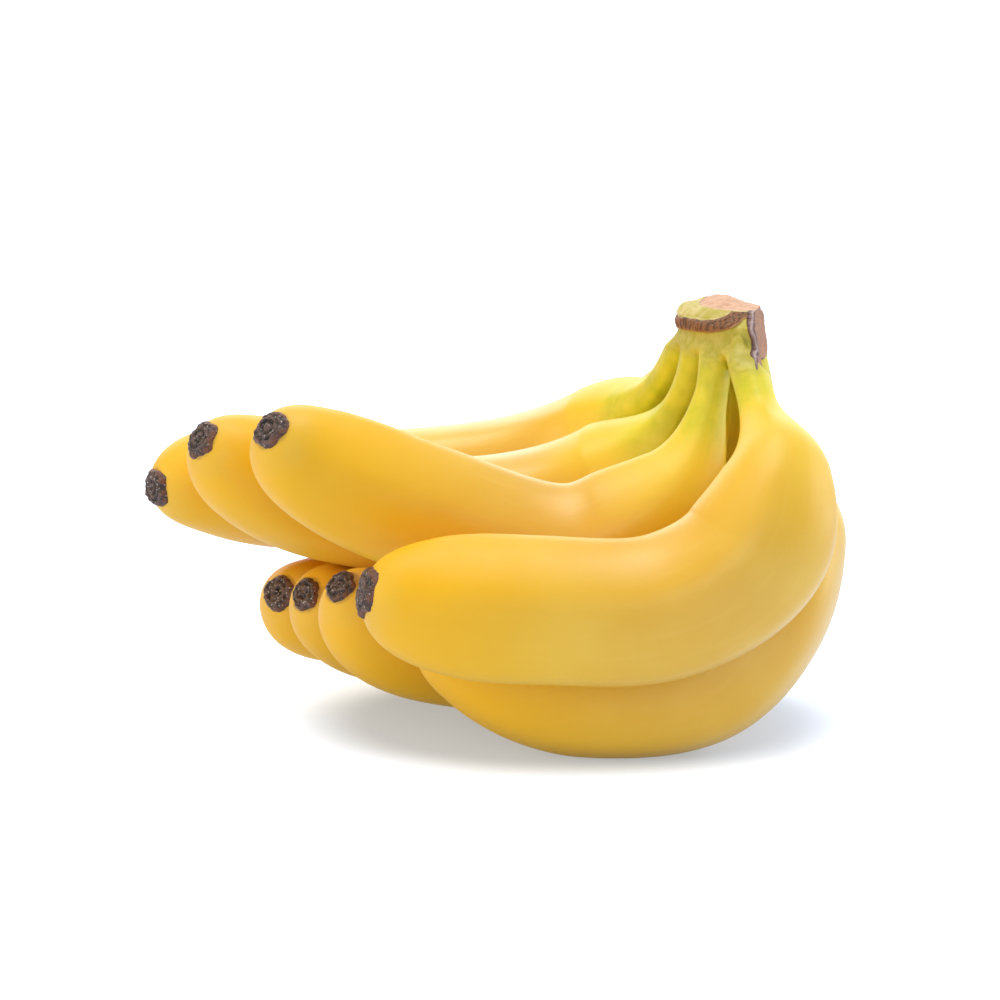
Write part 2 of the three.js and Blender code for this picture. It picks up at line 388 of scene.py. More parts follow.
class Stalks:
    """The eight stalks where they grow together below the crown."""

    REACH = 60.0                 # stretch of each stalk that is sampled
    SAMPLED = 25                 # places on that stretch
    MERGING = (92.0, 107.0)      # heights between which the stalks grow together
    PARTED, MERGED = 0.12, 1.5   # softness below those heights, and what it gains above
    STEPS = (-0.3, 5.2, 12)      # tried distances over the round radius: first, last, how many
    HALVINGS = 7                 # halvings of the step in which the skin was met
    INWARD_STEPS = 27            # tried distances on the way in to the crown's axis

    def __init__(self, lines: Sequence[CentreLine]) -> None:
        """Samples the first stretch of each stalk."""
        self.lines = lines
        self.samples = [line.sample(np.linspace(0, self.REACH, self.SAMPLED)) for line in lines]

    def fields(self, points: Array) -> Array:
        """Distance of each point from each stalk's skin, stalks by points."""
        return np.stack([line.clearance(points, sample)
                         for line, sample in zip(self.lines, self.samples)])

    @classmethod
    def fused(cls, fields: Array, height: Array) -> Array:
        """Distance from the stalks as one grown-together body.

        A soft minimum, minus k times the log of the summed exponentials of -field / k, whose softness
        k rises with height, so the stalks part below and merge above.
        """
        k = cls.PARTED + cls.MERGED * smooth(*cls.MERGING, height)
        lowest = fields.min(0)
        return lowest - k * np.log(np.exp(-(fields - lowest) / k).sum(0))

    def own_field(self, points: Array, index: int) -> Array:
        """The fused field as one stalk shows it: past the middle to its neighbour it dives inside."""
        fields = self.fields(points)
        others = np.delete(fields, index, 0).min(0)
        return self.fused(fields, points[:, 2]) + np.maximum(fields[index] - others, 0)

    def own_radius(self, index: int, rays: Rays, start: Array) -> Array:
        """Radius of one stalk's skin, where its own field first turns positive along each ray.

        Even steps outwards find the stretch where it turns, and halving narrows it down.

        Args:
            index: number of the stalk.
            rays: rays out of the stalk's centre line.
            start: round radius of each ring.

        Returns:
            Radii, rings by sides.
        """
        shape = rays.directions.shape[:2]

        def outside(radius: Array) -> Array:
            """Whether the points at radii along the rays lie outside the skin."""
            return self.own_field(rays.at(radius).reshape(-1, 3), index).reshape(shape) > 0

        low = np.broadcast_to(start[:, None] - 0.8, shape).copy()
        high, open_rays = low.copy(), np.ones(shape, bool)
        for step in np.linspace(*self.STEPS):
            tried = np.broadcast_to(start[:, None] + step, shape)
            still_inside = open_rays & ~outside(tried)
            high = np.where(open_rays, tried, high)
            low = np.where(still_inside, tried, low)
            open_rays = still_inside
        for _ in range(self.HALVINGS):
            middle = (low + high) / 2
            too_far = outside(middle)
            high = np.where(too_far, middle, high)
            low = np.where(too_far, low, middle)
        return (low + high) / 2

    def reach(self, rays: Rays, far: Array) -> Array:
        """Distance along each ray, coming in from outside, at which the stalks' body is met.

        Args:
            rays: level rays out of the crown's upright axis.
            far: distance at which the search starts, rings by sides.

        Returns:
            The outermost crossing, or 0 where the ray meets no stalk.
        """
        steps = np.linspace(1, 0, self.INWARD_STEPS)
        before, found, done = None, np.zeros(far.shape), np.zeros(far.shape, bool)
        for step in steps:
            distance = far * step
            points = rays.at(distance).reshape(-1, 3)
            value = self.fused(self.fields(points), points[:, 2]).reshape(far.shape)
            if before is not None:
                crossed = ~done & (value < 0)
                share = np.clip(before / np.where(value == before, 1, before - value), 0, 1)
                found = np.where(crossed, distance + (1 - share) * far * (steps[0] - steps[1]), found)
                done |= crossed
            before = value
        return found


@dataclass
class SideCut:
    """The knife cut on the crown's right side, which runs on over the nearest stalks.

    Attributes:
        point: a point of the cut.
        normal: direction that the cut faces.
        foot: height below which the cut is swung away from the stalks.
        swing: how far it swings away for each millimetre below its foot.
    """

    point: Array = field(default_factory=lambda: np.array([71.3, -22.1, 116.0]) - PLAN_MIDDLE)
    normal: Array = field(default_factory=lambda: unit(np.array([1.0, -0.18, 0.21])))
    foot: float = CROWN_SEAM
    swing: float = 0.9

    def depth(self, points: Array) -> Array:
        """How far points lie inside the cut plane, with the plane swung away below the crown's foot."""
        below = np.maximum(self.foot - points[..., 2], 0)
        return (self.point - points) @ self.normal + self.swing * below

    def limit(self, rays: Rays) -> Array:
        """Distance to the cut along each ray, large where they never meet."""
        towards = rays.directions @ self.normal
        return np.where(towards > 0.02, self.depth(rays.origins) / np.maximum(towards, 0.02), 1e3)


@dataclass
class Banana:
    """One fruit: its skin from inside the crown to the blossom end.

    Attributes:
        plan: its sizes.
        line: its centre line.
        index: its number among all the fruits.
        body_rings: rings between the stalk and the rounded end.
        end_rings: rings round the end.
        sides: points round each ring.
        ridge: height of the long ridges as a share of the radius.
        stalk_ridge: what the ridges gain on the stalk.
        stalk_end: how far the grown-together stalk is followed along the fruit.
    """

    plan: Plan
    line: CentreLine
    index: int
    body_rings: int = 236
    end_rings: int = 30
    sides: int = 112
    ridge: float = 0.019
    stalk_ridge: float = 0.02
    stalk_end: float = 52.0

    def ring_distances(self) -> Array:
        """Ring places: even along the body, closer together round the end."""
        body_end = self.line.length - self.plan.taper + ROUND_END
        body = np.linspace(0, body_end, self.body_rings, endpoint=False)
        turn = np.linspace(0, math.pi / 2, self.end_rings)
        return np.concatenate([body, body_end + (self.plan.taper - 0.02) * np.sin(turn)])

    def rays(self, distance: Array) -> Tuple[Rays, Array]:
        """Rays out of the centre line at the rings' places, and the ridges' angle on each side."""
        _, side, across = self.line.axes(distance)
        angle = np.linspace(0, TURN, self.sides, endpoint=False)
        directions = (side[:, None] * np.cos(angle)[None, :, None]
                      + across[:, None] * np.sin(angle)[None, :, None])
        return Rays(self.line.centres(distance)[:, None], directions), angle - math.radians(self.plan.turn)

    def ridged(self, distance: Array, angle: Array) -> Array:
        """Radius factor of the five long ridges, which fade out at both ends of the fruit.

        The wave is cos 5a with a fifth of cos 10a, which makes the crests narrower than the hollows.
        """
        wave = np.cos(RIDGES * angle) + 0.2 * np.cos(2 * RIDGES * angle)
        height = self.ridge + self.stalk_ridge * (1 - smooth(15.0, 45.0, distance))
        height = height * smooth(6.0, 30.0, distance)
        height = height * smooth(0.0, 26.0, self.line.length - distance)
        return 1 + height[:, None] * (wave[None] - 0.35)

    @staticmethod
    def evened(radius: Array) -> Array:
        """Radii averaged over seven rings and three sides, which takes out fine ripples."""
        padded = np.pad(radius, ((3, 3), (0, 0)), mode="edge")
        along = sum(padded[i:i + len(radius)] for i in range(7)) / 7
        return (np.roll(along, 1, 1) + 2 * along + np.roll(along, -1, 1)) / 4

    def pressed(self, rays: Rays, start: Array, others: Sequence[CentreLine]) -> Array:
        """Radius once the fruit is pressed against its neighbours.

        Four passes move each point back by half of its overlap with every neighbour, and the edge of
        the flat is rounded by half of depth plus hypot(depth, softness).

        Args:
            rays: rays out of the centre line.
            start: radii before pressing, rings by sides.
            others: centre lines of the neighbours.

        Returns:
            Radii, rings by sides.
        """
        deepest = np.full(start.shape, -50.0)
        for other in others:
            radius, space = start.copy(), np.zeros_like(start)
            for _ in range(4):
                gap = other.clearance(rays.at(radius).reshape(-1, 3)).reshape(start.shape)
                space = gap - (radius - start) - CLEARANCE
                radius = radius + np.minimum(space, 0) / 2
            deepest = np.maximum(deepest, np.where(radius < start, start - radius, -space / 2))
        soft = 0.5 * (deepest + np.hypot(deepest, PRESS_SOFTNESS))
        return np.maximum(start - soft, 0.25)

    def grown(self, rays: Rays, distance: Array, angle: Array, lines: Sequence[CentreLine],
              stalks: Stalks) -> Array:
        """Radius of the free fruit: round with ridges, slowly uneven, pressed, and fused at the stalk.

        Args:
            rays: rays out of the centre line.
            distance: the rings' places.
            angle: the ridges' angle on each side.
            lines: centre lines of all the fruits.
            stalks: the fused stalks.

        Returns:
            Radii, rings by sides.
        """
        line, seed = self.line, self.plan.seed
        round_radius = line.radius(distance)
        ridged = self.ridged(distance, angle)
        rough = rays.at(round_radius[:, None])
        calm = smooth(30.0, 60.0, distance) * smooth(1.0, 25.0, line.length - distance)
        uneven = 0.22 * Waves(seed, 60.0, 140.0)(rough) + 0.03 * Waves(seed + 50, 16.0, 40.0)(rough)
        start = round_radius[:, None] * ridged + uneven * calm[:, None]
        others = [other for other in lines if other is not line]
        radius = self.pressed(rays, np.maximum(start, 0.05), others)

        near = distance < self.stalk_end
        fused = stalks.own_radius(self.index, rays.on(near), round_radius[near])
        fused = self.evened(fused) * ridged[near]
        share = smooth(self.stalk_end - 18.0, self.stalk_end - 2.0, distance[near])[:, None]
        radius[near] = fused * (1 - share) + radius[near] * share
        at_end = (distance > line.length - 3)[:, None]
        return np.where(at_end, np.minimum(radius, round_radius[:, None]), radius)

    @staticmethod
    def tucked(rays: Rays, radius: Array, height: Array, cut: SideCut) -> Array:
        """Radius of the stalk where it sinks just under the crown's skin, trimmed by the knife cut."""
        sink = 0.35 * smooth(CROWN_SEAM, CROWN_SEAM + 1.6, height) + 1.8 * smooth(103.2, 109.0, height)
        shrink = 1 - 0.65 * smooth(105.0, 110.5, height)
        limit = np.maximum(cut.limit(rays) - 0.25, 0.2)
        return np.maximum(soft_min(np.maximum(radius - sink, 0.3) * shrink, limit, 0.3), 0.2)

    def skin(self, lines: Sequence[CentreLine], stalks: Stalks, cut: SideCut) -> Skin:
        """Works out the skin: the free fruit, tucked into the crown and flat where it lies on the floor.

        Args:
            lines: centre lines of all the fruits.
            stalks: the fused stalks.
            cut: the knife cut on the crown's side.

        Returns:
            The closed skin.
        """
        line, distance = self.line, self.ring_distances()
        rays, angle = self.rays(distance)
        radius = self.grown(rays, distance, angle, lines, stalks)
        near = distance < self.stalk_end
        height = rays.at(radius)[near][..., 2]
        radius[near] = self.tucked(rays.on(near), radius[near], height, cut)

        points = rays.at(radius)
        points[..., 2] = soft_max(points[..., 2], 0.02, 0.25) - 0.01
        between = np.delete(stalks.fields(points[near].reshape(-1, 3)), self.index, 0).min(0)
        # Flute: nearness to the neighbouring stalks low down; the peel's finish darkens it to olive green
        # there, partly the stalks' own green and partly painted shade of the crevices.
        flute = np.zeros(radius.shape)
        flute[near] = smooth(3.2, 0.2, between.reshape(-1, self.sides)) * smooth(103.0, 98.0, height)
        flute[near] *= smooth(self.stalk_end, self.stalk_end - 16.0, distance[near])[:, None]
        from_tip = np.maximum(line.length + ROUND_END - distance, 0)
        fields = {"along": np.broadcast_to(distance[:, None], radius.shape),
                  "from_tip": np.broadcast_to(from_tip[:, None], radius.shape), "flute": flute}
        end = line.centres(np.array([line.length + ROUND_END]))[0]
        return Skin(self.plan.name, points, (rays.origins[0, 0], end), fields)


@dataclass
class BlossomEnd:
    """The dried blossom end of one fruit: a dark crust draped over its blunt tip.

    Attributes:
        plan: sizes of its fruit.
        line: centre line of its fruit.
        crust: thickness of the crust at its rim, in millimetres.
        sides: points round each ring.
    """

    plan: Plan
    line: CentreLine
    crust: float = 1.25
    sides: int = 144

    def outline(self, angle: Array) -> Array:
        """Outline factor: a rounded polygon with four or five uneven corners and ragged edges."""
        draw = np.random.default_rng(self.plan.seed + 200)
        corners = 4 + self.plan.seed % 2
        phase = draw.uniform(0, TURN, 3)
        wobble = 0.06 * np.cos(corners * angle + phase[0]) + 0.035 * np.cos(2 * angle + phase[1])
        ring = np.stack([np.cos(angle), np.sin(angle), np.full_like(angle, self.plan.seed)], -1)
        return 1 + wobble + 0.025 * Waves(self.plan.seed + 7, 0.25, 0.9)(ring)

    def drop(self, radius: Array) -> Array:
        """How far the fruit's rounded end has fallen back from its apex at a distance from its middle."""
        share = np.clip(radius / self.plan.girth, 0, 0.9) ** END_FULLNESS
        return self.plan.taper * (1 - (1 - share) ** (1 / END_FULLNESS))

    def thickness(self, share: Array) -> Array:
        """Height of the crust over the fruit: a dished face, a rounded rim and a tucked-in foot."""
        face = self.crust * (0.45 + 0.55 * smooth(0.15, 0.8, share))
        rim = self.crust * np.sqrt(np.clip(1 - (np.maximum(share - 0.86, 0) / 0.2) ** 2, 0, 1))
        return np.where(share < 0.86, face, rim) - 0.5 * smooth(1.03, 1.07, share)

    def crumpled(self, flat: Array, shares: Array, angles: Array) -> Tuple[Array, Array]:
        """How far swirls and noise lift the crust, and the coarse noise alone."""
        seed = self.plan.seed
        swirl = np.sin(shares * 15 + 1.5 * np.sin(angles + seed) + 1.3 * Waves(seed, 3.0, 9.0)(flat))
        coarse = Waves(seed + 20, 1.6, 4.5, 30)(flat)
        fine = Waves(seed + 21, 0.6, 1.5, 40)(flat)
        return 0.26 * swirl * smooth(0.97, 0.75, shares) + 0.24 * coarse + 0.12 * fine, coarse

    def skin(self) -> Skin:
        """Works out the crust.

        Rings run from the middle of the face over the rim to the foot, and back under the peel. Each
        point stands over the fruit's rounded end by the thickness, crumpled by swirls and noise.

        Returns:
            The closed skin.
        """
        line, plan = self.line, self.plan
        share = np.concatenate([np.linspace(0.02, 0.84, 40), np.linspace(0.85, 1.08, 34)])
        under = np.linspace(1.05, 0.04, 9)
        angle = np.linspace(0, TURN, self.sides, endpoint=False)
        shares, angles = np.meshgrid(np.concatenate([share, under]), angle, indexing="ij")
        outer = (np.arange(len(shares)) < len(share))[:, None]
        outline = 1 + (self.outline(angle)[None] - 1) * smooth(0.3, 0.95, shares)
        radial = plan.tip * shares * outline
        flat = np.stack([radial * np.cos(angles), radial * np.sin(angles), 0 * radial], -1)
        lift, coarse = self.crumpled(flat, shares, angles)
        lift = lift * smooth(1.06, 0.9, shares) * outer
        seat = np.array([line.length])
        base, (tangent, side, across) = line.centres(seat), line.axes(seat)
        thick = np.where(outer, self.thickness(shares), -0.9)
        heights = ROUND_END - self.drop(radial) + thick + lift
        radial = radial + 0.16 * coarse * smooth(0.85, 1.0, shares) * outer
        points = (base + (radial * np.cos(angles))[..., None] * side
                  + (radial * np.sin(angles))[..., None] * across + heights[..., None] * tangent)
        # relief: how far swirls and noise lift the crust; the finish makes the low parts darker, partly the
        # crust's own tone and partly painted shade in its hollows.
        fields = {"rim": smooth(0.84, 0.97, shares) * outer, "relief": np.clip(0.5 + 1.1 * lift, 0, 1)}
        poles = (points[0].mean(0), points[-1].mean(0))
        return Skin(plan.name.replace("banana", "blossom_end"), points, poles, fields)


@dataclass
class Crown:
    """The crown: fused stalk tops, a corky scar ridge, a low dome, a cut top and a cut side.

    Attributes:
        centre: middle of the pad seen from above, in the plan's place.
        along: direction of its long axis.
        half_length: half of its length.
        half_width: half of its width.
        bottom: height of its foot.
        top: height of its cut top.
        dome: height where the dome starts to close.
        around: points round each ring.
    """

    centre: Tuple[float, float] = (64.0, -13.0)
    along: Tuple[float, float] = (-0.45, 0.89)
    half_length: float = 20.5
    half_width: float = 10.5
    bottom: float = 100.6
    top: float = 116.0
    dome: float = 112.3
    around: int = 384

    # The pad's size at heights above the plan's foot, up to where the dome starts
    HEIGHTS = (-1.4, 0.0, 1.2, 2.6, 4.5, 6.6, 8.0, 9.2, 10.4, 11.3)
    SIZES = (0.42, 0.60, 0.76, 0.88, 0.93, 0.94, 0.955, 0.965, 0.955, 0.935)
    # The size that the dome closes to at the top, at angles round the pad in degrees
    TOP_ANGLES = (0, 42, 90, 133, 160, 200, 300, 330, 360)
    TOP_SIZES = (0.72, 0.67, 0.63, 0.60, 0.56, 0.66, 0.84, 0.82, 0.72)
    # The scar ridge's mean height, its tilt, and what it rises by at angles round the pad
    RIDGE_HEIGHT, RIDGE_TILT = 111.2, 1.9
    RIDGE_ANGLES = (0, 30, 112, 130, 142, 155, 180, 230, 300, 360)
    RIDGE_RISES = (0.6, 0.3, 0, 0.9, 1.9, 3.3, 3.6, 1.5, 0.6, 0.6)
    RIDGE_HALF_HEIGHT = 1.75

    def ridge_height(self, angle: Array) -> Array:
        """Height of the middle of the scar ridge round the pad: a tilt that rises to the cut side."""
        rise = np.interp(np.degrees(angle) % 360, self.RIDGE_ANGLES, self.RIDGE_RISES)
        return self.RIDGE_HEIGHT - self.RIDGE_TILT * np.cos(angle) + rise

    def outline(self, angle: Array) -> Tuple[Array, Array]:
        """Level directions from the axis, and the distance to the pad's full outline, at each angle."""
        along = unit(np.array([*self.along, 0.0]))
        across = np.array([-along[1], along[0], 0.0])
        arms = (self.half_length * np.cos(angle)[:, None] * along
                + self.half_width * np.sin(angle)[:, None] * across)
        reach = np.linalg.norm(arms, axis=1)
        return arms / reach[:, None], reach

    def pad_size(self, level: Array, angle: Array) -> Array:
        """Size of the pad on each ring: fixed sections below, then a dome closing by a power curve."""
        below = np.interp(level, np.array(self.HEIGHTS) + CROWN_FOOT, self.SIZES)[:, None]
        fuller = 0.05 * smooth(0.2, 0.9, np.cos(angle - 0.5))[None]
        below = below + fuller * smooth(111.5, 112.8, level)[:, None]
        top = np.interp(np.degrees(angle) % 360, self.TOP_ANGLES, self.TOP_SIZES)[None]
        power = (1.4 + 1.6 * smooth(0.5, 1.0, np.cos(angle)))[None]
        closing = np.clip((level - self.dome) / (self.top - self.dome), 0, 1)[:, None] ** power
        return below + (self.averaged(top, 16) - below) * closing

    @staticmethod
    def averaged(values: Array, reach: int) -> Array:
        """Mean over the neighbours within reach on either side round each ring."""
        moved = (np.roll(values, move, axis=1) for move in range(-reach, reach + 1))
        return sum(moved) / (2 * reach + 1)

    @staticmethod
    def top_height(points: Array) -> Array:
        """How far the cut top stands over its level: a gentle rise at the back, a fall at the left end."""
        x, y = points[..., 0], points[..., 1]
        rise = smooth(70.5, 65.5, x) * smooth(58.5, 63.5, x) * smooth(-17.0, -5.0, y)
        return rise - 0.8 * smooth(59.5, 55.5, x)

    @staticmethod
    def top_cut_share(points: Array) -> Array:
        """1 on the tan cut of the top and 0 on the skin round it, across a ragged oval edge."""
        x, y = points[..., 0], points[..., 1]
        oval = np.hypot((x - 67.5) / 9.8, (y + 7.2) / 14.3) + 0.02 * Waves(12, 2.0, 7.0)(points)
        return smooth(1.03, 0.97, oval)

    def levels(self) -> Array:
        """Ring heights: even up to the waist, closer above it, and round the bend to the top."""
        waist, bend = 108.0, 0.9
        turn = np.linspace(0, math.pi / 2, 14)
        return np.concatenate([np.linspace(self.bottom, waist, 58, endpoint=False),
                               np.linspace(waist, self.top - bend, 76, endpoint=False),
                               self.top - bend * (1 - np.sin(turn))])

    def skirted(self, rays: Rays, pad: Array, full: Array, stalks: Stalks) -> Array:
        """Radius of the pad with the stalks' body growing out of its foot.

        The larger of the two with a rounded corner, evened round each ring where the stalks have
        merged, gives way to the pad alone with height.

        Args:
            rays: level rays out of the upright axis.
            pad: radius of the pad along them.
            full: radius of the pad's full outline.
            stalks: the fused stalks.

        Returns:
            Radii, rings by sides.
        """
        heights = rays.origins[..., 2]
        met = stalks.reach(rays, full * 1.25 + 6.0)
        skirt = soft_max(pad, met, 0.15 + 2.2 * smooth(102.2, 106.5, heights))
        skirt = skirt + (self.averaged(skirt, 9) - skirt) * smooth(CROWN_SEAM + 0.2, 106.0, heights)
        return pad + (skirt - pad) * smooth(109.6, 103.0, heights)

    def ridged(self, rays: Rays, radius: Array, angles: Array) -> Tuple[Array, Array, Array, Array]:
        """Raises the scar ridge: a wrinkled band with a lip at its lower edge and a groove above it.

        Args:
            rays: level rays out of the upright axis.
            radius: radii before the ridge.
            angles: angle of each ray.

        Returns:
            The radii, and where the ridge, its lip and the skin above it lie, from 0 to 1.
        """
        heights, points = rays.origins[..., 2], rays.at(radius)
        wrinkles = 0.16 * Waves(4, 1.2, 3.2, 36)(points * (1, 1, 0.3)) + 0.1 * Waves(3, 0.9, 2.6, 36)(points)
        ragged = Waves(6, 2.5, 8.0)(points * (1, 1, 0.2))
        offset = ((heights - self.ridge_height(angles) - 0.12 * ragged)
                  / (self.RIDGE_HALF_HEIGHT + 0.1 * ragged))
        ridge = np.sqrt(np.clip(1 - np.abs(offset) ** 3, 0, 1))
        lip = np.exp(-((offset + 0.95) / 0.22) ** 2)
        groove = np.exp(-((offset - 1.15) / 0.2) ** 2)
        radius = radius + ridge * (0.95 + wrinkles) + 0.25 * lip - 0.2 * groove
        return radius, ridge, lip, smooth(-0.6, 0.4, offset)

    def trimmed(self, rays: Rays, radius: Array, cut: SideCut) -> Tuple[Array, Dict[str, Array]]:
        """Raises the folded rim along the side cut, and cuts the radii off there.

        Args:
            rays: level rays out of the upright axis.
            radius: radii before the cut.
            cut: the knife cut on the side.

        Returns:
            The radii, and the values that tell the cut, the rim, its crease (which the finish paints with a
            pale highlight) and its edge apart.
        """
        heights, free = rays.origins[..., 2], rays.at(radius)
        inside = cut.depth(free)
        edge = inside + 0.25 * Waves(7, 3.0, 8.0)(free)
        width = 0.7 + 1.6 * smooth(CROWN_SEAM, 107.0, heights)
        band = smooth(width, width - 0.4, edge) * smooth(102.7, 104.0, heights)
        fold = Waves(8, 1.6, 4.5, 30)(free * (1, 1, 0.3))
        # The crease along the rim: raised a little here, and painted with a pale highlight by the crown's
        # finish.
        crease = np.exp(-((edge - 1.0 - 0.2 * fold) / 0.3) ** 2)
        radius = radius + smooth(0.0, 0.3, inside) * band * (0.35 + 0.15 * fold + 0.35 * crease)
        limit = np.maximum(cut.limit(rays), 0.4) + 0.07 * Waves(9, 1.5, 5.0, 30)(free)
        fields = {"side_cut": smooth(-0.1, 0.4, radius - limit), "rim": band, "crease": crease,
                  "rim_edge": smooth(width - 0.8, width - 0.3, edge)}
        return soft_min(radius, limit, 0.3), fields

    def skin(self, stalks: Stalks, cut: SideCut) -> Skin:
        """Works out the crown: pad and stalks, the ridge, the rings of the top, then the two cuts.

        Args:
            stalks: the fused stalks.
            cut: the knife cut on the side.

        Returns:
            The closed skin.
        """
        angle, level = np.linspace(0, TURN, self.around, endpoint=False), self.levels()
        directions, reach = self.outline(angle)
        heights, angles = np.meshgrid(level, angle, indexing="ij")
        origins = np.zeros((*heights.shape, 3)) + np.array([*self.centre, 0.0]) - PLAN_MIDDLE
        origins[..., 2] = heights
        rays = Rays(origins, np.broadcast_to(directions, origins.shape))
        full = np.broadcast_to(reach, heights.shape)
        radius = self.skirted(rays, self.pad_size(level, angle) * full, full, stalks)
        radius, ridge, lip, above = self.ridged(rays, radius, angles)
        radius = np.maximum(radius - 0.3 * smooth(CROWN_SEAM, CROWN_SEAM - 2.0, heights), 0.6)

        shares = np.concatenate([[0.985, 0.955], np.linspace(0.92, 0.04, 40)])

        def topped(values: Array, value: Optional[float] = None) -> Array:
            """Values with a ring more for each share: copies of the last ring, or all one value."""
            last = values[-1:] if value is None else np.full_like(values[-1:], value)
            return np.concatenate([values, np.repeat(last, len(shares), 0)])

        rays = Rays(topped(rays.origins), topped(rays.directions))
        radius = np.concatenate([radius, shares[:, None] * radius[-1][None]])
        radius, fields = self.trimmed(rays, radius, cut)

        points, heights = rays.at(radius), topped(heights)
        top_cut = self.top_cut_share(points) * smooth(self.top - 0.5, self.top - 0.05, heights)
        lifted = smooth(self.top - 1.5, self.top, heights)
        points[..., 2] += lifted * (self.top_height(points) - 0.28 * top_cut)
        points[..., 2] += 0.05 * top_cut * Waves(11, 1.2, 4.0, 30)(points)
        uncut = (1 - fields["side_cut"]) * (1 - top_cut)
        fields.update(ridge=topped(ridge, 0.0) * uncut, rim=fields["rim"] * uncut, lip=topped(lip, 0.0),
                      above=topped(above, 1.0), top_cut=top_cut, top_edge=4 * top_cut * (1 - top_cut))
        foot_pole = points[0].mean(0) + np.array([0, 0, 1.5])
        return Skin("crown", points, (foot_pole, points[-1].mean(0)), fields)


# Finishes

class Graph:
    """Places and wires the nodes of one node tree."""

    def __init__(self, tree: bpy.types.NodeTree) -> None:
        """Keeps the tree that the nodes go into."""
        self.tree = tree

    def found(self, kind: str) -> bpy.types.Node:
        """The node of a kind that the tree came with."""
        return next(node for node in self.tree.nodes if node.type == kind)

    def node(self, kind: str, inputs: Optional[Dict[Key, Value]] = None,
             **settings: object) -> bpy.types.Node:
        """Adds a node.

        Args:
            kind: the node's type name.
            inputs: values or output sockets for its inputs, by name or number.
            settings: properties of the node.

        Returns:
            The node.
        """
        made = self.tree.nodes.new(kind)
        for key, value in settings.items():
            setattr(made, key, value)
        self.fill(made, inputs or {})
        return made

    def fill(self, node: bpy.types.Node, inputs: Dict[Key, Value]) -> None:
        """Feeds several inputs of a node, by name or number."""
        for key, value in inputs.items():
            self.feed(node.inputs[key], value)

    def feed(self, socket: Socket, value: Value) -> None:
        """Links an output to an input, or sets the input's value."""
        if isinstance(value, Socket):
            self.tree.links.new(value, socket)
        elif isinstance(value, tuple) and len(value) == 3 and socket.type == "RGBA":
            socket.default_value = (*value, 1.0)
        else:
            socket.default_value = value

    def math(self, operation: str, a: Value, b: Value, clamp: bool = False) -> Socket:
        """Adds a Math node and returns its value."""
        return self.node("ShaderNodeMath", {0: a, 1: b}, operation=operation, use_clamp=clamp).outputs[0]

    def times(self, a: Value, b: Value) -> Socket:
        """One value times another."""
        return self.math("MULTIPLY", a, b)

    def plus(self, a: Value, b: Value) -> Socket:
        """One value plus another."""
        return self.math("ADD", a, b)

    def swayed(self, value: Value, pattern: Socket, sway: float) -> Socket:
        """A value moved up and down by a pattern whose middle is a half."""
        return self.plus(value, self.times(self.math("SUBTRACT", pattern, 0.5), sway))

    def ramp(self, value: Value, low: float, high: float, out_low: float = 0.0,
             out_high: float = 1.0) -> Socket:
        """Adds a smooth Map Range node and returns its value."""
        return self.node("ShaderNodeMapRange", {0: value, 1: low, 2: high, 3: out_low, 4: out_high},
                         interpolation_type="SMOOTHSTEP").outputs[0]

    def mix(self, factor: Value, a: Value, b: Value) -> Socket:
        """Adds a colour Mix node and returns its result."""
        return self.node("ShaderNodeMix", {0: factor, 6: a, 7: b}, data_type="RGBA").outputs[2]

    def shades(self, pattern: Socket, low: float, high: float, first: Colour, second: Colour) -> Socket:
        """A colour that goes from one shade to another where a pattern rises."""
        return self.mix(self.ramp(pattern, low, high), first, second)

    def over(self, colour: Value, share: Socket, strength: float, shade: Colour) -> Socket:
        """A colour with a shade laid over it, by a share times a strength."""
        return self.mix(self.times(share, strength), colour, shade)

    def place(self) -> Socket:
        """Coordinates of the point on its object."""
        return self.node("ShaderNodeTexCoord").outputs["Object"]

    def seen(self) -> Socket:
        """1 for rays from the camera and 0 for all others."""
        return self.node("ShaderNodeLightPath").outputs["Is Camera Ray"]

    def attribute(self, name: str) -> Socket:
        """Reads a point attribute."""
        return self.node("ShaderNodeAttribute", attribute_name=name).outputs["Fac"]

    def scaled(self, vector: Socket, scale: Triple, move: Triple = (0, 0, 0)) -> Socket:
        """Adds a Mapping node and returns the stretched coordinates."""
        inputs = {"Vector": vector, "Scale": scale, "Location": move}
        return self.node("ShaderNodeMapping", inputs).outputs[0]

    def noise(self, vector: Socket, scale: float, detail: float = 2.0, roughness: float = 0.5) -> Socket:
        """Adds a Noise Texture and returns its value."""
        inputs = {"Vector": vector, "Scale": scale, "Detail": detail, "Roughness": roughness}
        return self.node("ShaderNodeTexNoise", inputs).outputs["Fac"]

    def drawn_out(self, vector: Socket, scale: Triple, detail: float, roughness: float,
                  move: Triple = (0, 0, 0)) -> Socket:
        """Adds a Noise Texture on stretched coordinates and returns its value."""
        return self.noise(self.scaled(vector, scale, move), 1.0, detail, roughness)

    def bump(self, height: Socket, distance: float) -> Socket:
        """Adds a Bump node and returns its normal."""
        inputs = {"Height": height, "Distance": distance, "Strength": 1.0}
        return self.node("ShaderNodeBump", inputs).outputs[0]


